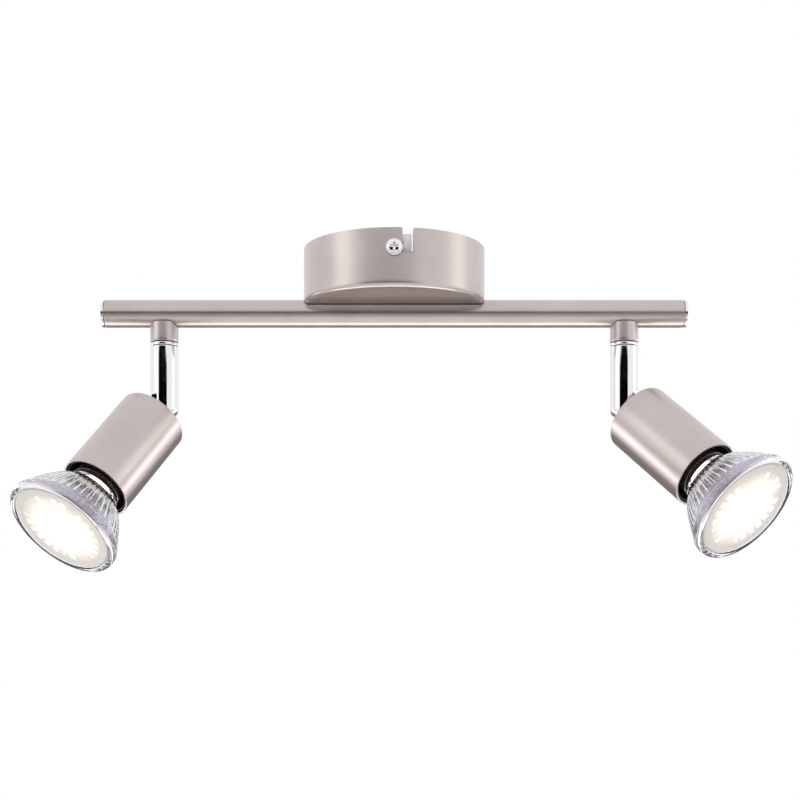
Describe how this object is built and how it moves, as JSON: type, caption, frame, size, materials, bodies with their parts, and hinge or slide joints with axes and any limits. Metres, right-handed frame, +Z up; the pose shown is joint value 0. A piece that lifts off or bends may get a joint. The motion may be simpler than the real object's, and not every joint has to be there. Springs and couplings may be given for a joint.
{
  "type": "ceiling spotlight bar",
  "caption": "Ceiling spotlight bar: round canopy, straight tube, swivelling chrome arms and tilting satin nickel cylinder spots with twist-lock reflector lamps.",
  "frame": {"origin": "on the ceiling plane, at the middle of the mounting bracket's pad, on the canopy's axis", "axes": "+Z up into the ceiling; +X along the tube towards the right lamp; -Y is the front, where the canopy screw and its notch are"},
  "size_m": [0.3249, 0.1111, 0.1433],
  "materials": {
    "satin_nickel": "satin",
    "polished_chrome": "polished",
    "zinc_plated_steel": "zinc plated, matt",
    "steel_hardware": "bright",
    "black_lining": "matt",
    "white_ceramic": "matt ceramic",
    "terminal_plastic": "translucent",
    "bushing_rubber": "matt",
    "lead_insulation": "silicone sleeve",
    "clear_glass": "pressed, polished",
    "dark_base_glass": "polished over a dark lining",
    "led_board": "white, lit",
    "mirror_plastic": "aluminised"
  },
  "bodies": {
    "bracket": {"mounting_bracket": "zinc_plated_steel", "terminal_block": "terminal_plastic", "earth_screw": "steel_hardware", "canopy_screw_front": "polished_chrome", "canopy_screw_rear": "polished_chrome"},
    "canopy_and_bar": {"canopy": "satin_nickel", "bar_tube": "satin_nickel", "cable_bushing": "bushing_rubber", "left_end_cap": "polished_chrome", "left_bar_screw": "steel_hardware", "left_bar_lead": "lead_insulation", "left_sleeve": "satin_nickel", "left_nipple": "steel_hardware", "left_bar_nut": "steel_hardware", "left_arm_nut": "steel_hardware", "right_end_cap": "polished_chrome", "right_bar_screw": "steel_hardware", "right_bar_lead": "lead_insulation", "right_sleeve": "satin_nickel", "right_nipple": "steel_hardware", "right_bar_nut": "steel_hardware", "right_arm_nut": "steel_hardware"},
    "left_arm": {"left_swivel_ring": "polished_chrome", "left_arm": "polished_chrome", "left_pivot_screw": "steel_hardware", "left_arm_lead": "lead_insulation"},
    "left_head": {"left_hinge_tongue": "steel_hardware", "left_hinge_nut": "steel_hardware", "left_housing": "satin_nickel", "left_liner": "black_lining", "left_holder_clip": "zinc_plated_steel", "left_lamp_holder": "white_ceramic", "left_head_lead": "lead_insulation"},
    "left_bulb": {"left_bulb_glass": "clear_glass", "left_bulb_lens": "clear_glass", "left_bulb_base": "dark_base_glass", "left_bulb_pin_a": "steel_hardware", "left_bulb_pin_b": "steel_hardware", "left_led_board": "led_board", "left_reflector": "mirror_plastic"},
    "right_arm": {"right_swivel_ring": "polished_chrome", "right_arm": "polished_chrome", "right_pivot_screw": "steel_hardware", "right_arm_lead": "lead_insulation"},
    "right_head": {"right_hinge_tongue": "steel_hardware", "right_hinge_nut": "steel_hardware", "right_housing": "satin_nickel", "right_liner": "black_lining", "right_holder_clip": "zinc_plated_steel", "right_lamp_holder": "white_ceramic", "right_head_lead": "lead_insulation"},
    "right_bulb": {"right_bulb_glass": "clear_glass", "right_bulb_lens": "clear_glass", "right_bulb_base": "dark_base_glass", "right_bulb_pin_a": "steel_hardware", "right_bulb_pin_b": "steel_hardware", "right_led_board": "led_board", "right_reflector": "mirror_plastic"}
  },
  "joints": [
    {"name": "canopy_twist", "type": "hinge", "parent": "bracket", "child": "canopy_and_bar", "pos_m": [0, 0, 0], "axis": [0, 0, 1], "range_deg": [-8.2, 0]},
    {"name": "left_swivel", "type": "hinge", "parent": "canopy_and_bar", "child": "left_arm", "pos_m": [-0.1021, 0, -0.0427], "axis": [0, 0, 1], "range_deg": [-227, 123]},
    {"name": "left_tilt", "type": "hinge", "parent": "left_arm", "child": "left_head", "pos_m": [-0.1021, 0, -0.0687], "axis": [-0.788, 0.6157, 0], "range_deg": [-45, 45]},
    {"name": "left_bulb_twist", "type": "hinge", "parent": "left_head", "child": "left_bulb", "pos_m": [-0.11716, -0.01928, -0.09317], "axis": [0.4353, 0.5572, 0.7071], "range_deg": [-25, 0]},
    {"name": "right_swivel", "type": "hinge", "parent": "canopy_and_bar", "child": "right_arm", "pos_m": [0.1021, 0, -0.0427], "axis": [0, 0, 1], "range_deg": [-126, 224]},
    {"name": "right_tilt", "type": "hinge", "parent": "right_arm", "child": "right_head", "pos_m": [0.1021, 0, -0.0687], "axis": [-0.7547, -0.6561, 0], "range_deg": [-52.5, 37.5]},
    {"name": "right_bulb_twist", "type": "hinge", "parent": "right_head", "child": "right_bulb", "pos_m": [0.12011, -0.02072, -0.08976], "axis": [-0.5205, 0.5988, 0.6088], "range_deg": [-25, 0]}
  ]
}
